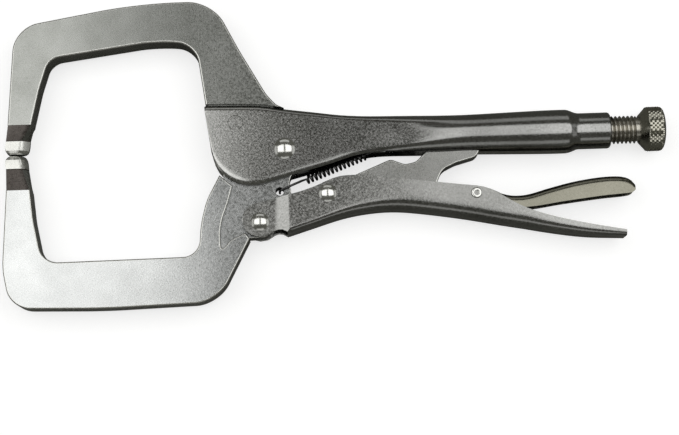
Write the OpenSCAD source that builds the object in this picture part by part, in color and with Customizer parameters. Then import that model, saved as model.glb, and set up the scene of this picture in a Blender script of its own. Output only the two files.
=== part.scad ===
// Locking C clamp of the 11 inch size, lying on its side with the jaws shut.
// +X runs along the adjusting screw towards its knob, +Y from the moving jaw
// to the fixed jaw, and +Z across the flat of the clamp. The origin is the
// middle of the fixed jaw's tip. Sizes are in millimetres.

/* [Overall] */
// Jaw tips to the main pivot, along the handles
reach = 113; // [100:1:145]
// Back of the fixed jaw above the tips
rise = 64; // [54:1:85]
// Bottom of the moving jaw below the tips
drop = 66.5; // [62:0.5:85]
// Main pivot to the mouth of the barrel
handle_l = 138.5; // [130:0.5:175]
// Main pivot to the rear end of the lower handle
lower_l = 143; // [134:1:172]
// Lever pin to the rear end of the release lever
lever_l = 68; // [58:1:84]

/* [Jaws] */
// Thickness of the forged arms
jaw_t = 11; // [9:0.5:14]
// Thickness of the moving jaw's tail, which runs between the handle's sides
tail_t = 7.8; // [6:0.1:8.6]
// Width of the fixed jaw's back bar
fixed_bar = 17.5; // [13:0.5:20]
// Width of the moving jaw's bottom bar
moving_bar = 20; // [15:0.5:24]
// Width of each jaw where its tip begins
tip_w = 10; // [8.5:0.5:12]
// Space between the tips when the jaws are shut
tip_gap = 0.2; // [0.2:0.1:1]
// Radius of the eye around the main pivot
eye_r = 10.5; // [9:0.5:11.5]

/* [Handles] */
// Thickness of the handle sheet
sheet_t = 2.4; // [1.8:0.1:3]
// Space on each side of a part that turns between two sheets
side_play = 0.2; // [0.1:0.05:0.4]
// Outside of the round barrel
barrel_d = 18.8; // [17:0.2:22]
// Outside of the threaded neck
neck_d = 15.4; // [14.6:0.2:17]
// Length of the threaded neck
neck_l = 13; // [10:0.5:18]
// How far the lower handle's sides step out behind its ears
jog = 0.9; // [0.5:0.1:1.5]
// Radius of the lower handle's ears
ear_r = 7.5; // [7:0.1:8]

/* [Rivets] */
// Shank of the main pivot rivet
main_d = 6.4; // [5:0.2:8]
// Head of the main pivot rivet
main_head_d = 9; // [8.6:0.1:11]
// Shank of the jaw rivet and the link rivet
small_d = 5; // [4:0.2:6]
// Head of the jaw rivet and the link rivet
small_head_d = 7.6; // [7:0.1:9]
// Shank of the lever pin
lever_d = 3.4; // [2.6:0.2:4]
// Flush pin that holds the fixed jaw
lock_d = 6.6; // [5:0.2:8]
// Space around a rivet in the part that turns on it
turn_gap = 0.05; // [0.03:0.01:0.09]

/* [Screw] */
// Outside of the adjusting screw's thread
screw_d = 12; // [10:0.5:12]
// Pitch of the thread
pitch = 1.75; // [1.25:0.25:2]
// Thread showing between the neck and the knob
screw_show = 12.5; // [4:0.5:20]
// Outside of the knob
knob_d = 19.2; // [16:0.2:21]
// Length of the knob
knob_l = 10.6; // [9:0.1:16]

/* [Release lever and spring] */
// Thickness of the lever's sheet
lever_sheet = 2; // [1.5:0.1:2.2]
// Space between the lever and each side of the lower handle
lever_play = 0.6; // [0.3:0.1:0.8]
// Wire of the return spring
wire_d = 0.9; // [0.6:0.1:1.1]
// Outside of the spring's coil
coil_d = 4.1; // [3.4:0.1:4.6]

/* [Hidden] */
$fn = 64;

// Pivots and pins, placed from the main pivot
pivot = [reach, -1.4];
jaw_pin = pivot + [-11.2, -30.9];
link_pin = pivot + [17.5, -19.8];
link_end = pivot + [78.8, 3];
lever_axis = pivot + [79.8, -21.8];
hook_hole = pivot + [-2.6, -17.9];
lock_pin = pivot + [-20.4, 11.7];
tab_hole = pivot + [39.8, -0.8];
// Height of the screw's axis above the tips
axis_y = pivot.y + 4.6;

// Half widths across the clamp
side_in = tail_t / 2 + side_play;
side_out = side_in + sheet_t;
wide_in = side_in + jog;
wide_out = wide_in + sheet_t;
lever_out = wide_in - lever_play;

// Barrel and screw along X
flare_x = pivot.x + 64.5;
slot_x = pivot.x + 87.8;
mouth_x = pivot.x + handle_l;
neck_x = mouth_x - neck_l;
end_r = 5;
screw_gap = 4.2;
screw_x = link_end.x + end_r + screw_gap;
knob_x = mouth_x + screw_show;
stub_r = 4.5;
stub_l = 9;

// Fit of pressed pins
press_gap = 0.02;
thread_gap = 0.08;
// A length that passes right through the clamp
through = 60;

function unit(v) = v / norm(v);

// Points of one rounded corner at p, between its neighbours a and b
function corner(a, p, b, r, steps = 7) =
    let (u = unit(a - p), w = unit(b - p), half = acos(u * w) / 2,
         room = 0.49 * min(norm(a - p), norm(b - p)) * tan(half),
         fit = min(r, room), c = p + unit(u + w) * fit / sin(half),
         s = p + u * fit / tan(half) - c, e = p + w * fit / tan(half) - c,
         from = atan2(s.y, s.x), turn = (atan2(e.y, e.x) - from + 540) % 360 - 180)
    fit < 0.05 ? [p] : [for (i = [0:steps]) c + fit * [cos(from + turn * i / steps),
                                                       sin(from + turn * i / steps)]];

// A closed outline from corners given as [x, y, radius]
function rounded(pts) =
    [for (i = [0:len(pts) - 1])
        let (q = pts[i], a = pts[(i + len(pts) - 1) % len(pts)], b = pts[(i + 1) % len(pts)])
        each corner([a.x, a.y], [q.x, q.y], [b.x, b.y], q.z)];

// Corners along an arc about c
function arc(c, r, a0, a1, steps = 10) =
    [for (i = [0:steps]) let (a = a0 + (a1 - a0) * i / steps)
        [c.x + r * cos(a), c.y + r * sin(a), 0]];

// A flat blank, centred across the clamp
module blank(pts, t) {
    linear_extrude(t, center = true) polygon(rounded(pts));
}

// A pressed part seen from above: [x, half width] pairs, cut square up and down
module width_of(pairs) {
    mirrored = [for (i = [len(pairs) - 1:-1:0]) [pairs[i].x, -pairs[i].y]];
    rotate([90, 0, 0]) linear_extrude(4 * through, center = true) polygon(concat(pairs, mirrored));
}

module hole(p, d, t = through) {
    translate([p.x, p.y, 0]) cylinder(d = d, h = t, center = true);
}

// A part turned about the screw's axis: [x, radius] pairs
module turned(pairs) {
    translate([0, axis_y, 0]) rotate([0, 90, 0]) rotate_extrude()
        polygon([for (q = pairs) [q.y, q.x]]);
}

// ---- Jaw tips ----

// Height at which each arm ends and its tip begins
fixed_tip_h = 12.5;
moving_tip_h = 15.5;
// Part of the arm's thickness that is left at the nose
nose_share = 0.64;

// A closed solid from rings of equal numbers of points
module loft(rings) {
    m = len(rings[0]);
    last = (len(rings) - 1) * m;
    polyhedron(
        points = [for (ring = rings) each ring],
        faces = concat([[for (k = [m - 1:-1:0]) k]],
            [for (i = [0:len(rings) - 2]) for (k = [0:m - 1])
                [i * m + k, i * m + (k + 1) % m, (i + 1) * m + (k + 1) % m, (i + 1) * m + k]],
            [[for (k = [0:m - 1]) last + k]]));
}

// One ring across a tip at height y: flat sides from x0 to x1, and an inner
// wall that stands out to x2 in the middle of the thickness
function tip_ring(y, x0, x1, x2, t) =
    [[x0, y, t], [x1, y, t], [x2, y, 0.45 * t], [x2, y, -0.45 * t], [x1, y, -t], [x0, y, -t]];

// The tip narrows from the arm's end to a rounded nose; x is the arm's inner
// corner and up is 1 for the fixed jaw and -1 for the moving jaw
module tip(up, h, x) {
    half = jaw_t / 2;
    nose = nose_share * half;
    rings = [
        tip_ring(h + 0.8, x - tip_w + 0.4, x - 0.3, x - 0.3, half - 0.3),
        tip_ring(h, x - tip_w, x, x, half),
        tip_ring(6.2, -4.3, 2.6, x - 1.2, nose + 0.2),
        tip_ring(3.2, -4.8, 2.4, x - 1.5, nose),
        tip_ring(1.1, -4.3, 1.9, x - 2, nose - 0.2),
        tip_ring(tip_gap / 2, -2.9, 0.6, x - 3.4, nose - 1)];
    mirror([0, up < 0 ? 1 : 0, 0]) loft(rings);
}

// ---- Upper handle side, and what it sets on the jaws ----

// The rounded lower front corner of the handle's sides
front_top = pivot + [-33.5, 19.8];
front_low = pivot + [-28.2, -19.3];
belly = pivot + [38, -2.3];
front_r = 17;
web_x = pivot.x + 0.3;
web_top = pivot.y + 17.4;
flat_top = pivot.y + 13.1;
flat_x = pivot.x + 37;

handle_side = [
    [front_top.x, front_top.y, 1.5], [pivot.x - 7, pivot.y + 19.2, 6], [web_x, web_top, 0],
    [flat_x, flat_top, 60], [flare_x + 7, flat_top, 0], [flare_x + 7, belly.y, 0],
    [belly.x, belly.y, 40], [front_low.x, front_low.y, front_r]];

handle_space = [
    [front_top.x - 20, rise, 0], [web_x, rise, 0], [web_x, web_top - sheet_t, 0],
    [flat_x, flat_top - sheet_t, 60], [slot_x, flat_top - sheet_t, 0],
    [slot_x, -drop, 0], [front_top.x - 20, -drop, 0]];

module upper_handle() {
    color("silver") difference() {
        union() {
            difference() {
                union() {
                    blank(handle_side, 2 * side_out);
                    turned([[flare_x, 0], [flare_x, side_out], [flare_x + 8, barrel_d / 2],
                            [neck_x - 4.5, barrel_d / 2], [neck_x, neck_d / 2],
                            [mouth_x - 1, neck_d / 2], [mouth_x, neck_d / 2 - 1], [mouth_x, 0]]);
                }
                blank(handle_space, 2 * side_in);
                turned([[flare_x + 6, 0], [flare_x + 6, side_in], [flare_x + 9, barrel_d / 2 - sheet_t],
                        [neck_x - 5, barrel_d / 2 - sheet_t], [neck_x - 2, screw_d / 2 + thread_gap],
                        [mouth_x + 1, screw_d / 2 + thread_gap], [mouth_x + 1, 0]]);
            }
            spring_tab();
        }
        hole(pivot, main_d + 2 * press_gap);
        hole(lock_pin, lock_d + 2 * press_gap);
    }
}

// Tab pressed down from the handle's top, which the spring hooks into
tab_w = 6;
tab_t = 2;

module spring_tab() {
    difference() {
        translate([tab_hole.x - tab_w / 2, tab_hole.y - 2.2, -tab_t / 2])
            cube([tab_w, flat_top - sheet_t / 2 - tab_hole.y + 2.2, tab_t]);
        hole(tab_hole, 2.6);
    }
}

// ---- Fixed jaw ----

// The arm stops short of the handle's sides by this much
arm_gap = 0.5;
eye_gap = 0.6;

fixed_arm = [
    [-3.3, fixed_tip_h, 0], [tip_w - 3.3, fixed_tip_h, 0],
    [10.2, 28, 40], [14.3, rise - fixed_bar - 5.6, 7], [60, rise - fixed_bar + 0.6, 150],
    [pivot.x - 36.4, rise - fixed_bar - 1.2, 10], [pivot.x - 32.9, front_top.y + arm_gap, 0],
    [pivot.x - 6.6, front_top.y + arm_gap, 0], [pivot.x - 17.9, rise - 23.4, 60],
    [pivot.x - 29, rise + 0.2, 17], [52, rise, 330], [-0.5, rise - 9, 13]];

fixed_tail = concat(
    [[pivot.x - 32, front_top.y + 3, 0], [pivot.x - 31.6, front_top.y - 6, 0],
     [pivot.x - 28.8, pivot.y - 1.6, 1.5]],
    arc(pivot, eye_r + eye_gap, 175, 66),
    [[pivot.x + 6, web_top - sheet_t - 0.9, 0.5], [web_x - 0.1, web_top - sheet_t - 0.1, 0],
     [web_x - 0.1, web_top, 0], [pivot.x - 5.6, front_top.y - 0.2, 5],
     [pivot.x - 8.6, front_top.y + 4, 0]]);

module fixed_jaw() {
    color("gray") difference() {
        union() {
            blank(fixed_arm, jaw_t);
            tip(1, fixed_tip_h, tip_w - 3.3);
            blank(fixed_tail, 2 * side_in);
        }
        hole(lock_pin, lock_d + 2 * press_gap);
    }
}

module fixed_jaw_pin() {
    color("dimgray") hole(lock_pin, lock_d, 2 * side_out);
}

// ---- Moving jaw ----

ear_relief = ear_r + 0.9;

// Centre of the handle's rounded corner, which the arm's shoulder runs around
front_u = unit(front_top - front_low);
front_w = unit(belly - front_low);
front_half = acos(front_u * front_w) / 2;
front_c = front_low + unit(front_u + front_w) * front_r / sin(front_half);

moving_arm = concat(
    [[-4, -moving_tip_h, 0], [tip_w - 4, -moving_tip_h, 0], [7.3, -28, 30],
     [10.9, moving_bar - drop, 8], [pivot.x - 37, moving_bar + 0.6 - drop, 11],
     [pivot.x - 36.6, pivot.y - 29.6, 24]],
    arc(front_c, front_r + arm_gap, 221, 249, 5),
    [[pivot.x - 24.4, pivot.y - 22.4, 20], [pivot.x - 28, pivot.y - 32, 25],
     [pivot.x - 27.8, pivot.y - 42.8, 1], [pivot.x - 22.8, pivot.y - 36.8, 25]],
    arc(jaw_pin, ear_relief, 189, 236, 5),
    [[pivot.x - 29.6, 1.2 - drop, 16], [36, -drop, 300],
     [-2.5, 1.2 - drop, 16], [-5.7, 18 - drop, 30]]);

tail_plate = [
    [pivot.x - 28.9, pivot.y - 43.5, 0], [pivot.x - 29.6, pivot.y - 26, 0],
    [pivot.x - 26.6, pivot.y - 14, 0], [pivot.x - 25.6, pivot.y - 6.6, 3],
    [pivot.x - 9, pivot.y - 0.5, 0], [pivot.x + 9.5, pivot.y - 4, 0], [pivot.x + 1, pivot.y - 13, 6],
    [pivot.x + 1.8, pivot.y - 18.5, 0], [pivot.x - 5, pivot.y - 27, 4],
    [jaw_pin.x + 5, jaw_pin.y - 2, 0], [jaw_pin.x - 4.5, jaw_pin.y - 6.5, 0],
    [pivot.x - 20.5, pivot.y - 41.5, 0]];

module movable_jaw() {
    color("lightgray") difference() {
        union() {
            blank(moving_arm, jaw_t);
            tip(-1, moving_tip_h, tip_w - 4);
            blank(tail_plate, tail_t);
            hole(pivot, 2 * eye_r, tail_t);
            hole(jaw_pin, 2 * ear_r - 1, tail_t);
            hole(hook_hole, 9.6, tail_t);
        }
        hole(pivot, main_d + 2 * turn_gap);
        hole(jaw_pin, small_d + 2 * turn_gap);
        hole(hook_hole, 3.6);
    }
}

// ---- Rivets ----

// A low domed head standing on a surface at height z
module dome(d, h) {
    ball = (d * d / 4 + h * h) / (2 * h);
    intersection() {
        translate([0, 0, h - ball]) sphere(ball);
        cylinder(d = d + 2, h = h + 1);
    }
}

// A rivet with two domed heads that clamp sheets out to half width z
module rivet(p, d, head_d, z) {
    translate([p.x, p.y, 0]) {
        cylinder(d = d, h = 2 * z, center = true);
        for (s = [0, 1]) mirror([0, 0, s]) translate([0, 0, z]) dome(head_d, 0.26 * head_d);
    }
}

module pivot_rivet() {
    color("whitesmoke") rivet(pivot, main_d, main_head_d, side_out);
}

module jaw_rivet() {
    color("whitesmoke") rivet(jaw_pin, small_d, small_head_d, side_out);
}

module link_rivet() {
    color("whitesmoke") rivet(link_pin, small_d, small_head_d, wide_out);
}

// A hollow-ended pin, rolled over at both ends
module lever_pin() {
    rim_h = 0.6;
    color("whitesmoke") difference() {
        union() {
            hole(lever_axis, lever_d, 2 * wide_out);
            for (s = [0, 1]) mirror([0, 0, s])
                translate([lever_axis.x, lever_axis.y, wide_out])
                    cylinder(d1 = lever_d + 1.3, d2 = lever_d + 0.5, h = rim_h);
        }
        for (s = [0, 1]) mirror([0, 0, s])
            translate([lever_axis.x, lever_axis.y, wide_out - 2])
                cylinder(d = 0.5 * lever_d, h = 4);
    }
}

// ---- Lower handle ----

ear = jaw_pin + [0.1, 0.6];
web_front = pivot.x + 0.6;
tail_x = pivot.x + lower_l;
arch = [pivot.x + 37.9, pivot.y - 25];
bend = [pivot.x + 115, pivot.y - 39.1];
heel = [web_front, pivot.y - 36.3];

lower_side = [
    [ear.x - 2, ear.y, 0], [ear.x - 1.9, ear.y + ear_r - 0.25, 0], [pivot.x + 14, pivot.y - 16.5, 60],
    [pivot.x + 25, pivot.y - 11.8, 8], [pivot.x + 83, pivot.y - 19.2, 12],
    [pivot.x + 98, pivot.y - 28.6, 26], [tail_x, pivot.y - 39.2, 1], [tail_x, pivot.y - 41.6, 2],
    [bend.x, bend.y, 120], [arch.x, arch.y, 82], [heel.x, heel.y, 1],
    [heel.x - 1.8, heel.y + 1.5, 1.5], [heel.x - 5.2, heel.y + 1.6, 3],
    [ear.x + 3.2, ear.y - ear_r + 0.7, 0]];

lower_space = [
    [ear.x - 30, 0, 0], [ear.x - 30, -drop, 0], [heel.x, -drop, 0], [heel.x, heel.y + sheet_t, 0],
    [arch.x, arch.y + sheet_t, 82 + sheet_t], [bend.x, bend.y + sheet_t, 120 - sheet_t],
    [tail_x - 2, pivot.y - 41.4 + sheet_t, 0], [tail_x + 10, pivot.y - 41.4 + sheet_t, 0],
    [tail_x + 10, 0, 0]];

// Half widths of the lower handle along X: ears, step, channel, narrower end
function lower_width(ears, wide, end) = [
    [ear.x - 40, ears], [pivot.x - 3.8, ears], [pivot.x + 0.6, wide],
    [tail_x - 24, wide], [tail_x + 12, end]];

module lower_handle() {
    color("silver") difference() {
        intersection() {
            union() {
                blank(lower_side, 2 * wide_out);
                hole(ear, 2 * ear_r, 2 * wide_out);
            }
            width_of(lower_width(side_out, wide_out, wide_out - 2));
        }
        intersection() {
            blank(lower_space, 2 * wide_in);
            width_of(lower_width(side_in, wide_in, wide_in - 2));
        }
        hole(jaw_pin, small_d + 2 * press_gap);
        hole(link_pin, small_d + 2 * press_gap);
        hole(lever_axis, lever_d + 2 * press_gap);
    }
}

// ---- Toggle link ----

boss_r = 4.6;

link_plate = [
    [link_pin.x, link_pin.y + boss_r, 0], [pivot.x + 25.5, pivot.y - 13.4, 6],
    [pivot.x + 44.6, pivot.y - 5.6, 3], [pivot.x + 50.6, pivot.y - 8, 3.5],
    [pivot.x + 55.4, pivot.y - 7, 4], [pivot.x + 61, pivot.y - 1.2, 8],
    [link_end.x - 5.5, link_end.y + end_r - 0.4, 6], [link_end.x, link_end.y + end_r, 0],
    [link_end.x + end_r, link_end.y, 0], [link_end.x + 2.8, pivot.y - 5.6, 4],
    [pivot.x + 72, pivot.y - 8.2, 10], [pivot.x + 66.2, pivot.y - 11, 5],
    [pivot.x + 63.8, pivot.y - 16.2, 3], [pivot.x + 61.3, pivot.y - 20.1, 2.5],
    [pivot.x + 47, pivot.y - 21.1, 20], [pivot.x + 27, pivot.y - 25, 10],
    [link_pin.x, link_pin.y - boss_r, 0]];

module toggle_link() {
    color("darkgray") difference() {
        union() {
            blank(link_plate, tail_t);
            hole(link_end, 2 * end_r, tail_t);
            hole(link_pin, 2 * boss_r, 2 * (wide_in - side_play));
        }
        hole(link_pin, small_d + 2 * turn_gap);
    }
}

// ---- Release lever ----

lever_x = lever_axis.x + lever_l;

// Corners of the lever's top, from its nose to its rear end, drop mm lower
function lever_top(d) = [
    [lever_axis.x - 11, lever_axis.y + 2.1 - d, 2], [lever_axis.x + 6, lever_axis.y + 3.3 - d, 6],
    [lever_axis.x + 17, lever_axis.y - 1.6 - d, 14], [lever_x - 19, lever_axis.y + 5.4 - d, 40],
    [lever_x - 6 - 0.3 * d, lever_axis.y + 6.2 - d, 6],
    [lever_x - 0.6 * d, lever_axis.y + 2.2 - 0.6 * d, 2.5]];

lever_side = concat(lever_top(0), [
    [lever_x - 1, lever_axis.y - 1, 1.5], [lever_x - 14, lever_axis.y - 2.8, 40],
    [lever_axis.x + 22, lever_axis.y - 6.6, 30], [lever_axis.x - 6, lever_axis.y - 4.8, 5],
    [lever_axis.x - 13.5, lever_axis.y - 1.8, 2], [lever_axis.x - 13.5, lever_axis.y + 0.4, 1.5]]);

lever_space = concat(
    [[lever_axis.x - 30, lever_axis.y + 1 - lever_sheet, 0]], lever_top(lever_sheet),
    [[lever_x - 2 * lever_sheet, -drop, 0], [lever_axis.x - 30, -drop, 0]]);

module release_lever() {
    color("silver") difference() {
        blank(lever_side, 2 * lever_out);
        blank(lever_space, 2 * (lever_out - lever_sheet));
        hole(lever_axis, lever_d + 2 * turn_gap);
    }
}

// ---- Adjusting screw and knob ----

depth = 0.61 * pitch;
plain_l = 7;
threads = floor((knob_x - screw_x - plain_l - 2) / pitch);

module adjusting_screw() {
    r = screw_d / 2;
    first = knob_x - 1 - threads * pitch;
    color("dimgray") turned(concat(
        [[screw_x, 0], [screw_x, r - depth - 1.4], [screw_x + 1.4, r - depth], [first, r - depth]],
        [for (i = [0:threads - 1]) let (x = first + i * pitch)
            each [[x + 0.44 * pitch, r], [x + 0.56 * pitch, r], [x + pitch, r - depth]]],
        [[knob_x, r - depth], [knob_x, stub_r], [knob_x + stub_l, stub_r], [knob_x + stub_l, 0]]));
}

module screw_knob() {
    r = knob_d / 2;
    hub = stub_r + turn_gap;
    end = knob_x + knob_l;
    color("gray") turned([
        [knob_x + 0.2, hub], [knob_x + 0.2, r - 3.4], [knob_x + 3.4, r], [end - 2.2, r],
        [end - 0.7, r - 0.8], [end, r - 2.6], [end, 0], [knob_x + stub_l + 0.3, 0],
        [knob_x + stub_l + 0.3, hub]]);
}

// ---- Return spring ----

// The wire runs from the jaw's hole, round the coil and into the handle's tab
wire_sides = 6;
turn_steps = 10;
coil_r = (coil_d - wire_d) / 2;
over = tail_t / 2 + 0.75 * wire_d + 0.2;
spring_u = unit(tab_hole - (hook_hole + [0.6, 1.1]));
coil_from = hook_hole + [0.6, 1.1] + 11.6 * spring_u;
coil_l = norm(tab_hole - coil_from) - 5.4;
turns = round(coil_l / 1.85);

function on_coil(t, r) =
    let (side = [-spring_u.y, spring_u.x], a = 90 + 360 * t,
         q = coil_from + spring_u * coil_l * t / turns)
    [q.x + side.x * r * cos(a), q.y + side.y * r * cos(a), r * sin(a)];

function hook_in() =
    let (h = hook_hole)
    [[h.x, h.y, -1], [h.x, h.y, over - 0.8], [h.x + 0.7, h.y + 0.35, over],
     [h.x + 5.2, h.y + 2.3, over], [h.x + 9.4, h.y + 4.5, coil_r + 0.5]];

function hook_out() =
    let (h = tab_hole, z = tab_t / 2 + wire_d)
    [[h.x - 3.4, h.y - 1.4, coil_r + 0.2], [h.x - 0.7, h.y - 0.3, z],
     [h.x, h.y, z - 0.8], [h.x, h.y, -z]];

wire_path = concat(hook_in(),
    [for (i = [0:turns * turn_steps]) on_coil(i / turn_steps, coil_r)], hook_out());

// A round wire along a path, as rings of points square to it
module wire(path, d) {
    n = len(path);
    function ahead(i) = unit(path[min(i + 1, n - 1)] - path[max(i - 1, 0)]);
    function ring(i) =
        let (t = ahead(i),
             ref = abs(t.z) > 0.9 ? -sign(t.z) * [spring_u.x, spring_u.y, 0] : [0, 0, 1],
             u = unit(cross(t, ref)), v = cross(t, u))
        [for (k = [0:wire_sides - 1]) let (a = 360 * k / wire_sides)
            path[i] + d / 2 * (cos(a) * u + sin(a) * v)];
    loft([for (i = [0:n - 1]) ring(i)]);
}

module return_spring() {
    color("black") wire(wire_path, wire_d);
}

upper_handle();
fixed_jaw();
fixed_jaw_pin();
pivot_rivet();
movable_jaw();
lower_handle();
jaw_rivet();
link_rivet();
lever_pin();
toggle_link();
release_lever();
adjusting_screw();
screw_knob();
return_spring();
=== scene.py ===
"""Locking C clamp, 11 inch size, lying on its side on a pale floor with the jaws shut."""

import math

import bmesh
import bpy
from mathutils import Matrix, Vector


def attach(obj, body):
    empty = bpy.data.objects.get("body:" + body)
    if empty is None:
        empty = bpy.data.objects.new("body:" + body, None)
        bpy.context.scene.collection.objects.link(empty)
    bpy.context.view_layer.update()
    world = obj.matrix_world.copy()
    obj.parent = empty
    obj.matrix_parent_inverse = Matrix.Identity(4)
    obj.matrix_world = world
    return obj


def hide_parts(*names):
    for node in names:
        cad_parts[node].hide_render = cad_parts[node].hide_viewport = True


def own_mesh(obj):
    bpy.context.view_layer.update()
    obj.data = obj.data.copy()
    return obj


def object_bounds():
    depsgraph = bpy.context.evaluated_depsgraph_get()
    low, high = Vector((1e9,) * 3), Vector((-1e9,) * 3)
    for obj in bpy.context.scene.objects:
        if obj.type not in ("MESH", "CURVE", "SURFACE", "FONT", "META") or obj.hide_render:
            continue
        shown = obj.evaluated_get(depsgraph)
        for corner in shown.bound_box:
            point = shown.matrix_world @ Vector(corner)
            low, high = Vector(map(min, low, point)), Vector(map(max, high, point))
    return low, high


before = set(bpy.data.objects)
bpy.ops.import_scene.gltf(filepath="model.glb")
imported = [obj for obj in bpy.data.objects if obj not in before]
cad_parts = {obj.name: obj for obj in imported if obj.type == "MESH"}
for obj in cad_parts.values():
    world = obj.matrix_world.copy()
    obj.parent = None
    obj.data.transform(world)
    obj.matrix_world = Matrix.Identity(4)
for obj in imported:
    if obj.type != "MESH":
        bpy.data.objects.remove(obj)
cad_box = [list(corner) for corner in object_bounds()]
MM = 0.001


# ---- Forged jaw: fixed ----
# A drop-forged steel hook, nickel plated over a finely pebbled skin, 11 mm
# thick with rounded rims. Its thinner tail sits between the handle's sides.

def grain_group():
    """Skin of plated, blasted steel: pebble height, and slow changes of tone."""
    group = bpy.data.node_groups.new("blasted_skin", "ShaderNodeTree")
    for name, default in (("Pebble size mm", 0.7), ("Tone size mm", 14.0)):
        socket = group.interface.new_socket(name, in_out="INPUT", socket_type="NodeSocketFloat")
        socket.default_value = default
    for name in ("Height", "Tone", "Fleck"):
        group.interface.new_socket(name, in_out="OUTPUT", socket_type="NodeSocketFloat")
    nodes, links = group.nodes, group.links
    asked, given = nodes.new("NodeGroupInput"), nodes.new("NodeGroupOutput")
    coords = nodes.new("ShaderNodeTexCoord")

    def noise(size_socket, detail, rough, out, cells=1000.0):
        """Noise with so many cells in a metre for each millimetre of size."""
        per_metre = nodes.new("ShaderNodeMath")
        per_metre.operation = "DIVIDE"
        per_metre.inputs[0].default_value = cells
        links.new(asked.outputs[size_socket], per_metre.inputs[1])
        texture = nodes.new("ShaderNodeTexNoise")
        texture.inputs["Detail"].default_value = detail
        texture.inputs["Roughness"].default_value = rough
        links.new(coords.outputs["Object"], texture.inputs["Vector"])
        links.new(per_metre.outputs[0], texture.inputs["Scale"])
        links.new(texture.outputs["Fac"], given.inputs[out])

    noise("Pebble size mm", 3.0, 0.62, "Height")
    noise("Tone size mm", 2.0, 0.5, "Tone")
    noise("Pebble size mm", 1.0, 0.5, "Fleck", 560.0)
    return group


GRAIN = grain_group()


def plated(name, light, dark, rough, pebble, depth, tone=14.0, spread=0.08, painted_shade_x=None):
    """Nickel-plated steel: two linear colours, roughness, pebble size and depth in mm.

    The last argument is (x from, x to, factor from, factor to) in metres: painted light and shade, a
    brightness that changes along x.
    """
    material = bpy.data.materials.new(name)
    material.use_nodes = True
    nodes, links = material.node_tree.nodes, material.node_tree.links
    shader = nodes["Principled BSDF"]
    shader.inputs["Metallic"].default_value = 1.0
    skin = nodes.new("ShaderNodeGroup")
    skin.node_tree = GRAIN
    skin.inputs["Pebble size mm"].default_value = pebble
    skin.inputs["Tone size mm"].default_value = tone
    ramp = nodes.new("ShaderNodeValToRGB")
    ramp.color_ramp.elements[0].position = 0.32
    ramp.color_ramp.elements[0].color = (*dark, 1)
    ramp.color_ramp.elements[1].position = 0.68
    ramp.color_ramp.elements[1].color = (*light, 1)
    blend = nodes.new("ShaderNodeMix")
    blend.data_type = "FLOAT"
    blend.inputs[0].default_value = 0.55
    links.new(skin.outputs["Tone"], blend.inputs[2])
    links.new(skin.outputs["Fleck"], blend.inputs[3])
    links.new(blend.outputs[0], ramp.inputs[0])
    links.new(ramp.outputs[0], shader.inputs["Base Color"])
    # Painted light and shade: the colour is scaled along the piece's x, lighter where the light falls and
    # darker where it does not.
    if painted_shade_x:
        coords, split = nodes.new("ShaderNodeTexCoord"), nodes.new("ShaderNodeSeparateXYZ")
        along, dim = nodes.new("ShaderNodeMapRange"), nodes.new("ShaderNodeVectorMath")
        along.interpolation_type, dim.operation = "SMOOTHSTEP", "SCALE"
        for socket, value in zip(("From Min", "From Max", "To Min", "To Max"), painted_shade_x):
            along.inputs[socket].default_value = value
        links.new(coords.outputs["Object"], split.inputs[0])
        links.new(split.outputs["X"], along.inputs["Value"])
        links.new(ramp.outputs[0], dim.inputs[0])
        links.new(along.outputs["Result"], dim.inputs["Scale"])
        links.new(dim.outputs[0], shader.inputs["Base Color"])
    matt = nodes.new("ShaderNodeMapRange")
    matt.inputs["From Min"].default_value = 0.3
    matt.inputs["From Max"].default_value = 0.7
    matt.inputs["To Min"].default_value = rough - spread
    matt.inputs["To Max"].default_value = rough + spread
    links.new(skin.outputs["Fleck"], matt.inputs["Value"])
    links.new(matt.outputs[0], shader.inputs["Roughness"])
    bump = nodes.new("ShaderNodeBump")
    bump.inputs["Strength"].default_value = 1.0
    bump.inputs["Distance"].default_value = depth * MM
    links.new(skin.outputs["Height"], bump.inputs["Height"])
    links.new(bump.outputs[0], shader.inputs["Normal"])
    return material


# Fixed jaw: painted light and shade along x, lighter at the tip and darker towards the handle.
FORGED = plated("forged_nickel", (0.31, 0.315, 0.30), (0.19, 0.195, 0.18), 0.25, 0.6, 0.030,
                painted_shade_x=(0.0, 0.07, 1.25, 0.8))
# Rounded rims and jaw noses: a lighter colour, a painted highlight along the edges.
RIM_HIGHLIGHT = plated("painted_rim_highlight", (0.68, 0.68, 0.65), (0.54, 0.54, 0.51), 0.30, 0.5, 0.004)
# Facets stepping from the jaw arm down to the nose: a dark colour, a painted dark reflection.
TIP_STEP_SHADE = plated("painted_dark_tip_reflection", (0.14, 0.125, 0.115), (0.075, 0.065, 0.06), 0.32, 0.6, 0.02)


ARC_STEP = 0.9


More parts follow.
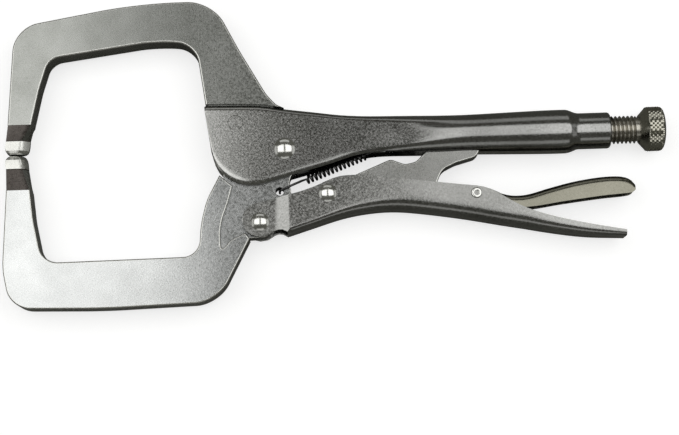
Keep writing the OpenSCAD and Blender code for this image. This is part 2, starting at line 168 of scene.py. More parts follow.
def flat_blank(corners, thickness, rim, square=(), steps=4):
    """A blank from (x, y, corner radius) in mm.

    Rims are rounded, except on the edges that start at the square corners.
    """
    bm = bmesh.new()
    points = [bm.verts.new((x * MM, y * MM, -thickness / 2 * MM)) for x, y, r in corners]
    bm.faces.new(points)
    count = len(corners)
    jobs = []
    for i, (x, y, r) in enumerate(corners):
        here = Vector((x, y))
        before, after = (Vector(corners[(i + d) % count][:2]) - here for d in (-1, 1))
        half = before.angle(after) / 2
        reach = min(r / math.tan(half), 0.49 * before.length, 0.49 * after.length)
        if reach > 0.05:
            arc = r * (math.pi - 2 * half)
            jobs.append((points[i], reach * MM, max(3, min(14, round(arc / ARC_STEP)))))
    for point, reach, segments in jobs:
        bmesh.ops.bevel(bm, geom=[point], offset=reach, offset_type="OFFSET", segments=segments,
                        profile=0.5, affect="VERTICES", clamp_overlap=False, material=-1)
    made = bmesh.ops.extrude_face_region(bm, geom=bm.faces[:])["geom"]
    bmesh.ops.translate(bm, vec=(0, 0, thickness * MM),
                        verts=[g for g in made if isinstance(g, bmesh.types.BMVert)])
    bmesh.ops.recalc_face_normals(bm, faces=bm.faces)
    caps = {f for f in bm.faces if abs(f.normal.z) > 0.9}

    def stays_square(edge):
        middle = (edge.verts[0].co + edge.verts[1].co).to_2d() / 2 / MM
        for i in square:
            a, b = Vector(corners[i][:2]), Vector(corners[(i + 1) % count][:2])
            if (middle - a).length + (b - middle).length < (b - a).length + 0.001:
                return True
        return False

    rims = [e for e in bm.edges if sum(f in caps for f in e.link_faces) == 1 and not stays_square(e)]
    rounded = bmesh.ops.bevel(bm, geom=rims, offset=rim * MM, offset_type="OFFSET", segments=steps,
                              profile=0.5, affect="EDGES", clamp_overlap=True, material=-1)
    # The rounded rims take slot 1, the lighter rim colour that is a painted highlight.
    for face in rounded["faces"]:
        face.material_index = 1
    bmesh.ops.remove_doubles(bm, verts=bm.verts, dist=1e-7)
    return bm


def add_to(bm, other):
    """Puts another blank's shape into bm as a part of the same piece."""
    spare = bpy.data.meshes.new("spare")
    other.to_mesh(spare)
    other.free()
    bm.from_mesh(spare)
    bpy.data.meshes.remove(spare)


def finish(bm, name, material, angle=40, weighted=True):
    """Makes the piece from its bmesh. Slot 0 is its material and slot 1 the rim colour, a painted highlight.
    """
    for face in bm.faces:
        face.smooth = True
    mesh = bpy.data.meshes.new(name)
    bm.to_mesh(mesh)
    bm.free()
    mesh.set_sharp_from_angle(angle=math.radians(angle))
    mesh.materials.append(material)
    mesh.materials.append(RIM_HIGHLIGHT)
    piece = bpy.data.objects.new(name, mesh)
    bpy.context.scene.collection.objects.link(piece)
    if weighted:
        flats = piece.modifiers.new("flats", "WEIGHTED_NORMAL")
        flats.keep_sharp = True
        flats.weight = 90
    return piece


NOSE_H = 5.95


def jaw_tip(up, height, inner, width, thick):
    """The tip: a ring at the arm's end, drawn in step by step to a rounded nose."""
    bm = bmesh.new()
    bmesh.ops.create_grid(bm, x_segments=8, y_segments=8, size=1.0)
    share = {v: (v.co.x, v.co.y) for v in bm.verts}

    def place(verts, y, x0, x1, x2, t, soft):
        for v in verts:
            u, w = share[v]
            corner = max(0.0, abs(u) + abs(w) - (2 - soft)) / 2
            bulge = x1 + (x2 - x1) * min(1.0, (1 - abs(w)) / 0.75)
            x = x0 + (bulge - x0) * (u * (1 - corner * 0.6) + 1) / 2
            v.co = (x * MM, up * y * MM, w * (1 - corner * 0.6) * t * MM)

    nose = 0.64 * thick
    rings = [(height + 0.8, inner - width + 0.3, inner - 0.3, inner - 0.3, thick - 0.25, 0.25),
             (height, inner - width, inner, inner, thick, 0.12),
             (6.35, -4.35, 2.7, inner - 1.2, nose + 0.18, 0.12),
             (5.9, -4.4, 2.6, inner - 1.2, nose + 0.04, 0.12),
             (3.4, -4.8, 2.45, inner - 1.4, nose, 0.14),
             (2.0, -4.65, 2.2, inner - 1.7, nose - 0.08, 0.2),
             (1.0, -4.1, 1.6, inner - 2.2, nose - 0.35, 0.3),
             (0.4, -3.4, 0.9, inner - 3.0, nose - 0.8, 0.45),
             (0.12, -2.3, 0.0, inner - 4.2, nose - 1.5, 0.6)]
    place(bm.verts, *rings[0])
    for ring in rings[1:]:
        top = [f for f in bm.faces if all(v in share for v in f.verts) and f.tag is False]
        made = bmesh.ops.extrude_face_region(bm, geom=top)
        fresh = [g for g in made["geom"] if isinstance(g, bmesh.types.BMVert)]
        lower = {tuple(round(k, 9) for k in v.co): c for v, c in share.items() if v.is_valid}
        share.clear()
        for v in fresh:
            share[v] = lower[tuple(round(k, 9) for k in v.co)]
        place(fresh, *ring)
    bmesh.ops.recalc_face_normals(bm, faces=bm.faces)
    # Nose flats take slot 1, the painted rim highlight; the facets between nose and arm take slot 2, the
    # painted dark reflection.
    for face in bm.faces:
        out = abs(face.calc_center_median().y) / MM
        if abs(face.normal.z) > 0.5 and out < height:
            face.material_index = 1 if out < NOSE_H else 2
    return bm


FIXED_H, MOVING_H, JAW_HALF = 12.5, 15.5, 5.5
FIXED_ARM = [(-3.3, 12.5, 0), (6.7, 12.5, 0), (10.2, 28, 40), (14.3, 40.9, 7), (60, 47.1, 150),
             (76.6, 45.3, 10), (80.1, 18.9, 0), (92, 18.7, 0), (104, 18.1, 0),
             (113.2, 16.4, 0), (109.9, 18, 5), (105.9, 22.6, 12), (95.1, 42, 60),
             (84, 64.2, 17), (52, 64, 330), (-0.5, 55, 13)]
FIXED_TAIL = [(81, 21.4, 0), (81.4, 12.4, 0), (84.2, -3, 1.5), (101.2, 0.6, 0), (104.4, 6.6, 4),
              (110, 10, 4), (117.2, 9.6, 2), (119, 12.5, 0.5), (113.2, 13.5, 0), (107.4, 18.2, 5),
              (104.4, 22.4, 0)]
jaw = flat_blank(FIXED_ARM, 2 * JAW_HALF, 1.0, square=(0, 6, 7, 8))
add_to(jaw, flat_blank(FIXED_TAIL, 8.1, 0.3))
add_to(jaw, jaw_tip(1, FIXED_H, 6.7, 10, JAW_HALF))
fixed_jaw = finish(jaw, "fixed_jaw_forging", FORGED, angle=28)
fixed_jaw.data.materials.append(TIP_STEP_SHADE)
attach(fixed_jaw, "upper_body")
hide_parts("fixed_jaw")


# ---- Forged jaw: moving ----
# The second forging. Its arm steps down to a thinner tail with the eye for the
# main rivet, a pocket for the lower handle's ear, and a hole for the spring.

# Moving jaw: the same forged nickel painted lighter, a painted highlight, with painted shade darkening it
# along x towards the tail.
FORGED_PAINTED_LIGHTER = plated("forged_nickel_painted_lighter", (0.66, 0.67, 0.665), (0.46, 0.47, 0.465), 0.24, 0.6, 0.027,
                    painted_shade_x=(0.055, 0.095, 1.0, 0.52))
MOVING_ARM = [(-4, -15.5, 0), (6, -15.5, 0), (7.3, -28, 30), (10.9, -46.5, 8), (76, -45.9, 11),
              (77, -32.5, 40), (79.6, -22.4, 26), (85.3, -11.8, 0), (90.7, -16.6, 0),
              (88.6, -23.8, 20), (85, -33.4, 25),
              (85.2, -44.2, 1), (89.4, -39.3, 6), (95.6, -36.6, 0), (97.3, -39.2, 0),
              (83.4, -65.3, 16), (36, -66.5, 300), (-2.5, -65.3, 16), (-5.7, -48.5, 30)]
TAIL = [(84.1, -44.9, 0), (83.4, -27.4, 0), (86.4, -15.4, 0), (87.4, -8, 3), (104, -1.9, 0),
        (122.5, -5.4, 0), (114, -14.4, 6), (115.5, -20.2, 3), (108, -28.4, 4), (109, -33, 3),
        (105, -38.5, 4), (97.3, -38.8, 0), (92.5, -42.9, 0)]


def cut_hole(bm, x, y, radius):
    """Bores a round hole through a piece, across the clamp."""
    tool = bmesh.new()
    bmesh.ops.create_cone(tool, cap_ends=True, segments=32, radius1=radius * MM, radius2=radius * MM,
                          depth=0.05, matrix=Matrix.Translation((x * MM, y * MM, 0)))
    solids = []
    for shape in (bm, tool):
        mesh = bpy.data.meshes.new("solid")
        shape.to_mesh(mesh)
        shape.free()
        solid = bpy.data.objects.new("solid", mesh)
        bpy.context.scene.collection.objects.link(solid)
        solids.append(solid)
    bore = solids[0].modifiers.new("bore", "BOOLEAN")
    bore.operation, bore.object, bore.solver = "DIFFERENCE", solids[1], "EXACT"
    bpy.context.view_layer.update()
    done = bpy.data.meshes.new_from_object(solids[0].evaluated_get(bpy.context.evaluated_depsgraph_get()))
    bored = bmesh.new()
    bored.from_mesh(done)
    for solid in solids:
        spare = solid.data
        bpy.data.objects.remove(solid)
        bpy.data.meshes.remove(spare)
    bpy.data.meshes.remove(done)
    return bored


HOOK_X, HOOK_Y = 110.4, -19.3
tail = cut_hole(flat_blank(TAIL, 7.8, 0.35), HOOK_X, HOOK_Y, 1.8)
jaw = flat_blank(MOVING_ARM, 2 * JAW_HALF, 1.0, square=(0,))
add_to(jaw, tail)
add_to(jaw, jaw_tip(-1, MOVING_H, 6, 10, JAW_HALF))
moving_jaw = finish(jaw, "movable_jaw_forging", FORGED_PAINTED_LIGHTER, angle=28)
moving_jaw.data.materials.append(TIP_STEP_SHADE)
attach(moving_jaw, "jaw_body")
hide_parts("movable_jaw")


# ---- Upper handle ----
# One sheet of steel pressed into a channel over the jaws, which closes behind
# them to a barrel with an open seam and a neck. Nickel plated and polished.

# Upper handle: painted light and shade along x, lighter towards the jaws and darker towards the barrel.
SHEET = plated("pressed_nickel", (0.42, 0.42, 0.41), (0.27, 0.27, 0.26), 0.18, 0.45, 0.011,
               tone=20.0, spread=0.05, painted_shade_x=(0.08, 0.135, 1.3, 0.8))
SHEET_T = 2.4
AXIS_Y = 3.2


def smooth_line(points, x):
    """Height at x of a smooth line through (x, y) points in rising order of x."""
    x = min(max(x, points[0][0]), points[-1][0])
    i = max(k for k in range(len(points) - 1) if points[k][0] <= x)
    (x0, y0), (x1, y1) = points[i], points[i + 1]
    run = x1 - x0

    def slope(k):
        if k in (0, len(points) - 1):
            a, b = (0, 1) if k == 0 else (-2, -1)
            return (points[b][1] - points[a][1]) / (points[b][0] - points[a][0])
        return (points[k + 1][1] - points[k - 1][1]) / (points[k + 1][0] - points[k - 1][0])

    t = (x - x0) / run
    return ((2 * t ** 3 - 3 * t ** 2 + 1) * y0 + (t ** 3 - 2 * t ** 2 + t) * run * slope(i)
            + (3 * t ** 2 - 2 * t ** 3) * y1 + (t ** 3 - t ** 2) * run * slope(i + 1))


def ease(x, start, end):
    t = min(max((x - start) / (end - start), 0.0), 1.0)
    return t * t * (3 - 2 * t)


def pressed_sheet(stations, across, place, in_gap=None):
    """A sheet drawn from station to station: each row is the last one extruded and placed."""
    bm = bmesh.new()
    row = [bm.verts.new(place(stations[0], k)) for k in range(across)]
    for a, b in zip(row, row[1:]):
        bm.edges.new((a, b))
    gone = []
    for station in stations[1:]:
        edges = [bm.edges.get((a, b)) for a, b in zip(row, row[1:])]
        made = set(bmesh.ops.extrude_edge_only(bm, edges=edges)["geom"])
        row = [next(e.other_vert(v) for e in v.link_edges if e.other_vert(v) in made) for v in row]
        for k, v in enumerate(row):
            v.co = place(station, k)
        if in_gap:
            for k in range(across - 1):
                if in_gap(station, k):
                    gone.append(next(f for f in bm.edges.get((row[k], row[k + 1])).link_faces))
    bmesh.ops.delete(bm, geom=gone, context="FACES")
    bmesh.ops.remove_doubles(bm, verts=bm.verts, dist=2e-6)
    return bm


def outward(bm, inside):
    """Turns the sheet's faces to look away from its inside."""
    wrong = []
    for face in bm.faces:
        middle = face.calc_center_median()
        if face.normal.dot(middle - inside(middle)) < 0:
            wrong.append(face)
    if wrong:
        bmesh.ops.reverse_faces(bm, faces=wrong)


def sheet_metal(piece, thickness, edge_r, edge_steps, even=True):
    """Gives a pressed skin its wall, inwards, and rounds its sheared edges."""
    wall = piece.modifiers.new("sheet", "SOLIDIFY")
    wall.thickness, wall.offset, wall.use_even_offset = thickness * MM, -1, even
    edge = piece.modifiers.new("sheared_edge", "BEVEL")
    edge.width, edge.segments = edge_r * MM, edge_steps
    # The rounded sheared edges take slot 1, the lighter rim colour that is a painted highlight.
    edge.limit_method, edge.angle_limit, edge.material = "ANGLE", math.radians(60), 1
    flats = piece.modifiers.new("flats", "WEIGHTED_NORMAL")
    flats.keep_sharp = True


SIDE, ROLL, WEB = 9, 7, 4
LIP_ROWS = (0, 0.03, 0.065, 0.105, 0.15, 0.21, 0.38, 0.58, 0.79, 1)
HALF = SIDE + ROLL + WEB


def fold(k):
    """Column k of a channel's skin as its column on one side, and which side it is."""
    return (k, 1) if k <= HALF else (2 * HALF - k, -1)


def over_web(k):
    """Whether the face after column k lies on the channel's closed web."""
    return SIDE + ROLL <= min(k, 2 * HALF - 1 - k)


TOP_LINE = [(79.5, 18.4), (92, 18.25), (104, 17.6), (113.3, 16), (126.8, 14.1), (137.4, 12.6),
            (150, 11.75), (170, 11.6), (190, 11.75), (208, 12.2), (225, 12.6), (240, 12.6)]
LIP_LINE = [(100.5, -16.45), (103.3, -15.95), (110, -14.2), (119, -11.9), (133.1, -8.2),
            (140.1, -5.9), (147.2, -4.5), (154.2, -3.8), (166, -3.7), (178.7, -4.0), (190, -4.6),
            (240, -5)]
FRONT_ARC = [(99.05 + 17 * math.cos(math.radians(a)), 0.48 + 17 * math.sin(math.radians(a)))
             for a in (275, 262, 249, 237, 225, 213, 201, 190)]
FRONT_TOP = [(102.5, 17.75), (98, 18), (94, 18.15), (90.5, 18.25), (87.4, 18.3), (84.8, 18.35),
             (82.8, 18.38), (81.3, 18.4)]
FRONT = list(zip(FRONT_TOP, FRONT_ARC)) + [((80.3, 18.4), (81.2, 5.5)), ((79.8, 18.3), (80.2, 12.5)),
                                           ((79.6, 18.0), (79.75, 16.4))]


def handle_stations():
    rows = [dict(top=t, lip=l, w=6.5, r=3.0) for t, l in reversed(FRONT)]
    for x in (106, 109.6, 113.3, 117, 121, 125, 129, 133, 137):
        lean = 2 * (1 - ease(x, 101, 122))
        rows.append(dict(top=(x, smooth_line(TOP_LINE, x)),
                         lip=(x - lean, smooth_line(LIP_LINE, x - lean)), w=6.5, r=3.0))
    for x in list(range(141, 233, 3)) + [233, 234, 235, 236, 237, 238, 238.6]:
        rows.append(dict(top=(x, smooth_line(TOP_LINE, x)), lip=(x, smooth_line(LIP_LINE, x)),
                         w=6.5 + 2.6 * ease(x, 136, 190), r=3.0 + 1.8 * ease(x, 140, 176)))
    return rows


def handle_place(row, k):
    h, side = fold(k)
    (tx, ty), (lx, ly) = row["top"], row["lip"]
    top, lip = Vector((tx, ty)), Vector((lx, ly))
    long = (top - lip).length
    down = (lip - top) / long
    r, w = row["r"], row["w"]
    if h <= SIDE:
        share = LIP_ROWS[h]
        spot = lip.lerp(top + down * r, share)
        z = w - 0.8 * ease(long, 6, 16) * max(0.0, 1 - share * long / 3.2) ** 2
    elif h <= SIDE + ROLL:
        turn = math.radians(90 * (h - SIDE) / ROLL)
        spot, z = top + down * r * (1 - math.sin(turn)), w - r * (1 - math.cos(turn))
    else:
        spot, z = top, (w - r) * (1 - (h - SIDE - ROLL) / WEB)
    round_share = ease(tx, 152, 192)
    if round_share:
        radius = (ty - AXIS_Y) - 1.7 * ease(tx, 232.5, 238.4)
        seam = 22 * (1 - ease(tx, 233, 238))
        if h <= SIDE:
            angle = (-90 + seam) + (125 - seam) * h / SIDE
        elif h <= SIDE + ROLL:
            angle = 35 + 40 * (h - SIDE) / ROLL
        else:
            angle = 75 + 15 * (h - SIDE - ROLL) / WEB
        angle = math.radians(angle)
        ring = Vector((tx, AXIS_Y + radius * math.sin(angle)))
        spot = spot.lerp(ring, round_share)
        z = z + (radius * math.cos(angle) - z) * round_share
    return Vector((spot.x, spot.y, side * z)) * MM


def handle_gap(row, k):
    return row["top"][0] <= 113.3 and over_web(k)


sheet = pressed_sheet(handle_stations(), 2 * HALF + 1, handle_place, handle_gap)
outward(sheet, lambda c: Vector((c.x, min(c.y, 0.008) if c.x < 0.15 else AXIS_Y * MM, 0)))
upper_shell = finish(sheet, "upper_handle_shell", SHEET, weighted=False)
sheet_metal(upper_shell, SHEET_T, 1.1, 4)
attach(upper_shell, "upper_body")
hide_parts("upper_handle")


def turned(profile, steps=64):
    """A part turned about the screw's axis from (x, radius) points."""
    bm = bmesh.new()
    points = [bm.verts.new((x * MM, (AXIS_Y + r) * MM, 0)) for x, r in profile]
    for a, b in zip(points, points[1:]):
        bm.edges.new((a, b))
    bmesh.ops.spin(bm, geom=bm.verts[:] + bm.edges[:], cent=(0, AXIS_Y * MM, 0), axis=(1, 0, 0),
                   angle=2 * math.pi, steps=steps, use_merge=True, use_duplicate=False)
    bmesh.ops.remove_doubles(bm, verts=bm.verts, dist=1e-7)
    bmesh.ops.recalc_face_normals(bm, faces=bm.faces)
    return bm


NECK = [(236.5, 6.1), (236.5, 7.2), (238.2, 7.62), (238.7, 7.7), (250.6, 7.7), (251.2, 7.5),
        (251.5, 7.1), (251.5, 6.5), (251.1, 6.1), (236.5, 6.1)]
neck = finish(turned(NECK), "upper_handle_neck", SHEET)
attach(neck, "upper_body")
TAB_X, TAB_Y = 152.8, -2.2
tab = bmesh.new()
bmesh.ops.create_cube(tab, size=1.0)
for v in tab.verts:
    v.co = Vector((TAB_X + 6 * v.co.x, 3.0 + 12.6 * v.co.y, 2 * v.co.z)) * MM
bmesh.ops.bevel(tab, geom=tab.edges[:], offset=0.4 * MM, offset_type="OFFSET", segments=2,
                profile=0.5, affect="EDGES", material=-1)
spring_tab = finish(cut_hole(tab, TAB_X, TAB_Y, 0.9), "spring_tab", SHEET)
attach(spring_tab, "upper_body")


# ---- Lower handle ----
# A second pressed channel, open towards the barrel. Its two ears are closer
# together than its sides, and step out to them just behind the jaw's rivet.

UPPER_EDGE = [(114.9, -21.2), (120, -19.9), (125.7, -18), (131, -15.7), (135.5, -14.3), (141, -13.9),
              (147, -14.4), (160.6, -16.1), (173.6, -17.7), (186.9, -19.4), (195.5, -20.6),
              (200.5, -22.5), (206.5, -26.4), (214.4, -30.6), (226.1, -34.5), (239.3, -37.6), (255.6, -40.6)]
HEEL_LINE = [(113.6, -37.6), (125.1, -34.1), (136.4, -30.9), (146.3, -29.3), (156.8, -28.8), (167.3, -29.7),
             (186.6, -32.7), (206.4, -36.6), (226.4, -40.2), (239.8, -42.1), (255.6, -43)]
EAR = [((98.6, -25), (98.2, -38)), ((96.3, -26.7), (96, -36.3)), ((94.9, -29), (94.8, -34)),
       ((94.4, -31), (94.4, -32))]


def lower_stations():
    rows = [dict(edge=t, heel=b, r=0.3) for t, b in reversed(EAR)]
    rows += [dict(edge=t, heel=b, r=0.3) for t, b in (
        ((101.9, -24.2), (101.5, -38.9)), ((105.4, -23.4), (104.9, -38.4)), ((108.3, -22.7), (107.6, -36.7)),
        ((110, -22.3), (109.4, -36.1)), ((111.6, -21.9), (111.2, -36.2)), ((113.2, -21.6), (113.2, -37.3)))]
    rows += [dict(edge=(x, smooth_line(UPPER_EDGE, x)), heel=(x, smooth_line(HEEL_LINE, x)),
                  r=0.3 + 2.3 * ease(x, 113, 114.4) + 2.8 * ease(x, 120, 165))
             for x in [114.4, 116, 118.5] + list(range(121, 254, 3)) + [254.5, 255.4]]
    return rows


def lower_place(row, k):
    h, side = fold(k)
    edge_at, heel_at = Vector(row["edge"]), Vector(row["heel"])
    up = (edge_at - heel_at).normalized()
    x = heel_at.x
    w = 6.5 + 0.9 * ease(x, 109, 113.8) - 1.9 * ease(x, 226, 262)
    r = min(row["r"], 0.7 * (edge_at - heel_at).length)
    if h <= SIDE:
        spot, z = edge_at.lerp(heel_at + up * r, h / SIDE), w
    elif h <= SIDE + ROLL:
        turn = math.radians(90 * (h - SIDE) / ROLL)
        spot, z = heel_at + up * r * (1 - math.sin(turn)), w - r * (1 - math.cos(turn))
    else:
        spot, z = heel_at, (w - r) * (1 - (h - SIDE - ROLL) / WEB)
    return Vector((spot.x, spot.y, side * z)) * MM


def ear_gap(row, k):
    return row["heel"][0] < 114 and over_web(k)


SHEET_LOW = plated("pressed_nickel_low", (0.36, 0.36, 0.35), (0.20, 0.20, 0.19), 0.21, 0.5, 0.016,
                   tone=26.0, spread=0.06)
sheet = pressed_sheet(lower_stations(), 2 * HALF + 1, lower_place, ear_gap)
outward(sheet, lambda c: Vector((c.x, smooth_line(UPPER_EDGE, c.x / MM) * MM + 0.01, 0)))
lower_shell = finish(sheet, "lower_handle_shell", SHEET_LOW, weighted=False)
sheet_metal(lower_shell, SHEET_T, 0.8, 3)
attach(lower_shell, "lower_body")
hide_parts("lower_handle")


# ---- Toggle link ----
# A flat stamped plate inside the two handles. It hooks down behind its rivet
# and bears on the adjusting screw's end.

LINK = plated("link_nickel", (0.29, 0.29, 0.28), (0.19, 0.19, 0.18), 0.30, 0.55, 0.022)
LINK_PLATE = [(126.5, -19.5, 3), (138.5, -14.8, 6), (157.6, -7, 3), (163.6, -9.4, 3.5), (168.4, -8.4, 4),
              (174, -2.6, 8), (186.3, 6.2, 6), (194.5, 6.6, 4), (196.8, 1.6, 4), (194.6, -7, 4),
              (185, -9.6, 10), (179.2, -12.4, 5), (176.8, -17.6, 3), (174.3, -21.5, 2.5),
              (160, -22.5, 20), (140, -26.4, 10), (130.5, -25.8, 3), (126.4, -23.5, 3)]
link = finish(flat_blank(LINK_PLATE, 7.8, 0.6, steps=3), "toggle_link_plate", LINK)
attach(link, "link_body")
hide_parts("toggle_link")


# ---- Release lever ----
# A narrow pressed channel, open downwards, on its own pin between the lower
# handle's sides. The rear end is swept up and rounded for the fingers.

LEVER_TOP = [(179.6, -22.4), (182, -21.2), (190, -20.5), (196, -20.2), (200.4, -21), (204, -22.9),
             (209, -24), (215, -23.7), (223.8, -21.4), (234.1, -19), (244.2, -17.5), (252, -17.1),
             (257, -17.7), (259.6, -19.1), (260.7, -20.9)]
LEVER_LOW = [(179.6, -24.4), (182, -26), (188, -27.8), (200, -28.8), (214.8, -29.4), (230, -27.5),
             (247, -25.6), (256.5, -24.9), (259.5, -24.4), (260.7, -23.3)]


def lever_place(x, k):
    h, side = fold(k)
    top, low = smooth_line(LEVER_TOP, x), smooth_line(LEVER_LOW, x)
    w = 4.4 - 0.8 * ease(x, 254, 261)
    r = min(3.2, 0.8 * (top - low))
    if h <= SIDE:
        y, z = low + (top - r - low) * h / SIDE, w
    elif h <= SIDE + ROLL:
        turn = math.radians(90 * (h - SIDE) / ROLL)
        y, z = top - r * (1 - math.sin(turn)), w - r * (1 - math.cos(turn))
    else:
        y, z = top, (w - r) * (1 - (h - SIDE - ROLL) / WEB)
    return Vector((x, y, side * z)) * MM


LEVER_T = 1.6
LEVER = plated("lever_nickel", (0.27, 0.26, 0.215), (0.18, 0.175, 0.14), 0.20, 0.5, 0.006, tone=20.0)
rows = ([179.6, 180.4, 182, 184, 187] + list(range(190, 254, 2))
        + [254, 255.5, 257, 258.3, 259.3, 260.1, 260.6])
sheet = pressed_sheet(rows, 2 * HALF + 1, lever_place)
outward(sheet, lambda c: Vector((c.x, smooth_line(LEVER_LOW, c.x / MM) * MM - 0.01, 0)))
lever = finish(sheet, "release_lever_shell", LEVER, weighted=False)
sheet_metal(lever, LEVER_T, 0.5, 3, even=False)
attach(lever, "lever_body")
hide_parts("release_lever")


# ---- Rivets and pins ----
# Steel rivets with low domed heads on both sides, polished by the riveting
# tool, a hollow-ended lever pin, and a flush pin ground off with the handle.

RIVET = plated("riveted_head", (0.70, 0.70, 0.67), (0.62, 0.62, 0.60), 0.17, 0.9, 0.004, spread=0.04)


def lathe_across(profile, x, y, name, material):
    """A pin turned about its own axis across the clamp, from (radius, z) points."""
    bm = bmesh.new()
    points = [bm.verts.new(((x + r) * MM, y * MM, z * MM)) for r, z in profile]
    for a, b in zip(points, points[1:]):
        bm.edges.new((a, b))
    bmesh.ops.spin(bm, geom=bm.verts[:] + bm.edges[:], cent=(x * MM, y * MM, 0), axis=(0, 0, 1),
                   angle=2 * math.pi, steps=48, use_merge=True, use_duplicate=False)
    bmesh.ops.remove_doubles(bm, verts=bm.verts, dist=1e-7)
    bmesh.ops.recalc_face_normals(bm, faces=bm.faces)
    return finish(bm, name, material, angle=38)


DOME = 0.185


def rivet_profile(shank, head, seat):
    """Half of a rivet with a low domed head, mirrored to the other side, as (radius, z)."""
    rise = DOME * head
    ball = (head * head / 4 + rise * rise) / (2 * rise)
    lean = math.asin(head / 2 / ball)
    dome = [(ball * math.sin(lean * i / 9), seat + rise - ball * (1 - math.cos(lean * i / 9)))
            for i in range(10)]
    half = dome + [(head / 2 - 0.1, seat - 0.02), (shank / 2, seat - 0.02)]
    return half + [(r, -z) for r, z in reversed(half)]


for name, body, x, y, shank, head, seat in (
        ("pivot_rivet", "upper_body", 113, -1.4, 6.4, 9, 6.5),
        ("jaw_rivet", "lower_body", 101.8, -32.3, 5, 7.6, 6.5),
        ("link_rivet", "lower_body", 130.5, -21.2, 5, 7.6, 7.4)):
    rivet = lathe_across(rivet_profile(shank, head, seat), x, y, name + "_turned", RIVET)
    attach(rivet, body)
    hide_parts(name)

half = [(0, 6.4), (0.75, 6.5), (0.95, 7.1), (1.1, 7.9), (1.5, 8.0), (2.0, 7.85), (2.3, 7.42), (1.7, 7.4)]
both_ends = half + [(r, -z) for r, z in reversed(half)]
lever_pin = lathe_across(both_ends, 192.8, -23.2, "lever_pin_turned", RIVET)
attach(lever_pin, "lower_body")
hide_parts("lever_pin")

half = [(0, 6.72), (2.95, 6.72), (3.28, 6.42), (3.3, 6.2)]
both_ends = half + [(r, -z) for r, z in reversed(half)]
flush = lathe_across(both_ends, 92.6, 10.3, "fixed_jaw_pin_ground", SHEET)
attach(flush, "upper_body")
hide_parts("fixed_jaw_pin")


# ---- Adjusting screw ----
# A steel rod with a rolled right-hand thread of 1.75 mm pitch, dull nickel
# over the thread. It sets how far the toggle link reaches.

SCREW = plated("dull_screw", (0.46, 0.44, 0.39), (0.30, 0.29, 0.26), 0.30, 0.5, 0.01)
PITCH, CREST, ROOT = 1.75, 6.0, 4.93
SCREW_FROM, KNOB_X = 201.0, 264.0
TURN_STEPS = 32
turns = int((KNOB_X - 0.9 - SCREW_FROM) / PITCH)
thread = bmesh.new()
profile = [(0.0, ROOT), (0.12, ROOT), (0.44, CREST - 0.1), (0.5, CREST), (0.56, CREST - 0.1),
           (0.88, ROOT), (1.0, ROOT)]
points = [thread.verts.new(((SCREW_FROM + a * PITCH) * MM, (AXIS_Y + r) * MM, 0)) for a, r in profile]
for a, b in zip(points, points[1:]):
    thread.edges.new((a, b))
bmesh.ops.spin(thread, geom=thread.verts[:] + thread.edges[:], cent=(0, AXIS_Y * MM, 0), axis=(1, 0, 0),
               dvec=(PITCH / TURN_STEPS * MM, 0, 0), angle=2 * math.pi * turns,
               steps=TURN_STEPS * turns, use_merge=False, use_duplicate=False)
bmesh.ops.remove_doubles(thread, verts=thread.verts, dist=2e-6)
bmesh.ops.recalc_face_normals(thread, faces=thread.faces)
CORE = [(199.4 + 1.8, 0), (199.4 + 1.8, 3.6), (203, 5.0), (264.2, 5.0), (264.2, 4.5), (273, 4.5), (273, 0)]
add_to(thread, turned(CORE, TURN_STEPS))
screw = finish(thread, "adjusting_screw_thread", SCREW, angle=60)
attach(screw, "screw_body")
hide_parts("adjusting_screw")


# ---- Knob ----
# A turned steel knob with a diamond knurl, chamfered towards the screw and
# crowned at its end, pressed on the screw.

CELL, ROUND = 0.45, 132
knurl_from, knurl_rows = 267.1, 15
knob = turned([(264.2, 4.56), (264.2, 6.1), (264.5, 6.4), (266.9, 9.0)]
              + [(knurl_from + CELL * i, 9.3 if i in (0, knurl_rows - 1) else 9.55)
                 for i in range(knurl_rows)]
              + [(273.7, 9.1), (274.1, 8.6), (274.4, 7.9), (274.6, 7.0), (274.6, 0)], ROUND)
for v in knob.verts:
    row = (v.co.x / MM - knurl_from) / CELL
    if 0.5 < row < knurl_rows - 1.5:
        row = round(row)
        around = round(math.atan2(v.co.z, v.co.y - AXIS_Y * MM) / (2 * math.pi / ROUND))
        peak = min(abs((row + around) % 4 - 2), abs((row - around) % 4 - 2)) / 2
        grow = 1.004 - 0.06 * (1 - peak)
        v.co.y = AXIS_Y * MM + (v.co.y - AXIS_Y * MM) * grow
        v.co.z *= grow
KNOB = plated("knurled_knob", (0.46, 0.45, 0.39), (0.34, 0.33, 0.28), 0.14, 0.5, 0.004, spread=0.04)
knob = finish(knob, "screw_knob_knurled", KNOB, angle=12, weighted=False)
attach(knob, "knob_body")
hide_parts("screw_knob")


# ---- Return spring ----
# Close-wound steel wire, oil blackened. One end hooks into the moving jaw's
# tail and the other into the tab inside the upper handle.

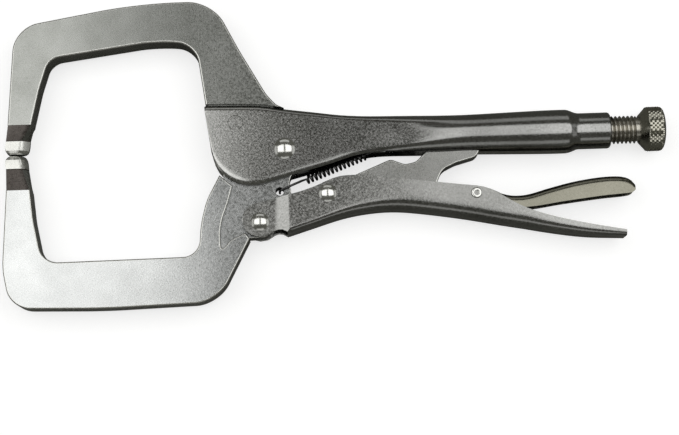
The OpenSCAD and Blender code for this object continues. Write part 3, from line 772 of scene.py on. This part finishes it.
WIRE_R = 0.5
WIRE = plated("black_wire", (0.10, 0.10, 0.10), (0.05, 0.05, 0.05), 0.30, 0.5, 0.004)
hook, anchor = Vector((HOOK_X, HOOK_Y, 0)), Vector((TAB_X, TAB_Y, 0))
start = hook + Vector((0.6, 1.1, 0))
along = (anchor - start).normalized()
side = Vector((-along.y, along.x, 0))
begin = start + along * 11.6
length = (anchor - begin).length - 5.4
COIL_PITCH, COIL_R, COIL_STEPS = 1.85, 1.6, 16
coils = round(length / COIL_PITCH)
path = [hook + Vector((0, 0, -1)), hook + Vector((0, 0, 3.4)), hook + Vector((0.25, 0.12, 4.2)),
        hook + Vector((0.7, 0.35, 4.7)), hook + Vector((5.2, 2.3, 4.7)), hook + Vector((9.4, 4.5, 2.1))]
for i in range(coils * COIL_STEPS + 1):
    a = math.radians(90) + 2 * math.pi * i / COIL_STEPS
    path.append(begin + along * length * i / (coils * COIL_STEPS) + side * COIL_R * math.cos(a)
                + Vector((0, 0, COIL_R * math.sin(a))))
path += [anchor + Vector(step) for step in (
    (-3.4, -1.4, 1.8), (-0.9, -0.35, 2.0), (-0.2, -0.1, 1.6), (0, 0, 0.8), (0, 0, -1.9))]
curve = bpy.data.curves.new("return_spring_path", "CURVE")
curve.dimensions, curve.bevel_depth = "3D", WIRE_R * MM
curve.bevel_resolution, curve.use_fill_caps = 2, True
spline = curve.splines.new("POLY")
spline.points.add(len(path) - 1)
for point, spot in zip(spline.points, path):
    point.co = (*(spot * MM), 1)
former = bpy.data.objects.new("return_spring_former", curve)
bpy.context.scene.collection.objects.link(former)
bpy.context.view_layer.update()
wire = bmesh.new()
made = bpy.data.meshes.new_from_object(former.evaluated_get(bpy.context.evaluated_depsgraph_get()))
wire.from_mesh(made)
bpy.data.objects.remove(former)
bpy.data.curves.remove(curve)
bpy.data.meshes.remove(made)
spring = finish(wire, "return_spring_wire", WIRE, weighted=False)
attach(spring, "upper_body")
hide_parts("return_spring")
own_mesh(spring)


# ---- Floor, light and camera ----
# A plain pale floor under the clamp, two soft boxes overhead with a dark gap
# between them, four low ones around, and a dim room.

low = min(corner[2] for corner in cad_box)
ground = bmesh.new()
bmesh.ops.create_grid(ground, x_segments=1, y_segments=1, size=3.0, matrix=Matrix.Translation((0.13, 0, low)))
pale = bpy.data.materials.new("pale_floor")
pale.use_nodes = True
nodes, links = pale.node_tree.nodes, pale.node_tree.links
base = nodes["Principled BSDF"]
base.inputs["Base Color"].default_value = (0.5, 0.5, 0.5, 1)
base.inputs["Roughness"].default_value = 0.9
base.inputs["Specular IOR Level"].default_value = 0.1
glow = nodes.new("ShaderNodeEmission")
glow.inputs["Color"].default_value = (1, 1, 1, 1)
glow.inputs["Strength"].default_value = 0.70
ray = nodes.new("ShaderNodeLightPath")
seen = nodes.new("ShaderNodeMixShader")
both = nodes.new("ShaderNodeAddShader")
dark = nodes.new("ShaderNodeBsdfDiffuse")
dark.inputs["Color"].default_value = (0.16, 0.16, 0.145, 1)
links.new(ray.outputs["Is Camera Ray"], seen.inputs[0])
links.new(base.outputs[0], both.inputs[0])
links.new(glow.outputs[0], both.inputs[1])
links.new(dark.outputs[0], seen.inputs[1])
links.new(both.outputs[0], seen.inputs[2])
links.new(seen.outputs[0], nodes["Material Output"].inputs["Surface"])
floor = finish(ground, "floor", pale, weighted=False)

world = bpy.data.worlds.new("room")
world.use_nodes = True
world.node_tree.nodes["Background"].inputs["Color"].default_value = (0.115, 0.115, 0.10, 1)
world.node_tree.nodes["Background"].inputs["Strength"].default_value = 1.0
bpy.context.scene.world = world
bpy.context.scene.view_settings.view_transform = "Standard"


def soft_box(name, spot, wide, deep, power, aim=None):
    """A rectangular light, facing straight down or towards a point."""
    lamp = bpy.data.lights.new(name, "AREA")
    lamp.shape, lamp.size, lamp.size_y, lamp.energy = "RECTANGLE", wide, deep, power
    light = bpy.data.objects.new(name, lamp)
    light.location = spot
    if aim:
        light.rotation_euler = (Vector(aim) - Vector(spot)).to_track_quat("-Z", "Y").to_euler()
    bpy.context.scene.collection.objects.link(light)


soft_box("left_box", (-0.53, 0.15, 1.0), 1.1, 1.0, 5.4)
soft_box("right_box", (0.77, 0.15, 1.0), 1.1, 1.0, 5.4)
for number, (x, y) in enumerate(((-1.5, 0), (1.8, 0), (0.13, -1.6), (0.13, 1.6))):
    soft_box(f"low_box_{number}", (x, y, 0.75), 1.7, 0.55, 1.5, aim=(0.13, 0, 0))

sight = bpy.data.cameras.new("camera")
sight.sensor_fit, sight.sensor_width, sight.lens = "HORIZONTAL", 36.0, 84.83
sight.clip_start = 0.01
camera = bpy.data.objects.new("camera", sight)
turn = Vector((-0.16627, 0.02001, 0.03494))
camera.matrix_world = (Matrix.Translation((0.1198, -0.1421, 0.6656))
                       @ Matrix.Rotation(turn.length, 4, turn).inverted().to_4x4())
bpy.context.scene.collection.objects.link(camera)
bpy.context.scene.camera = camera
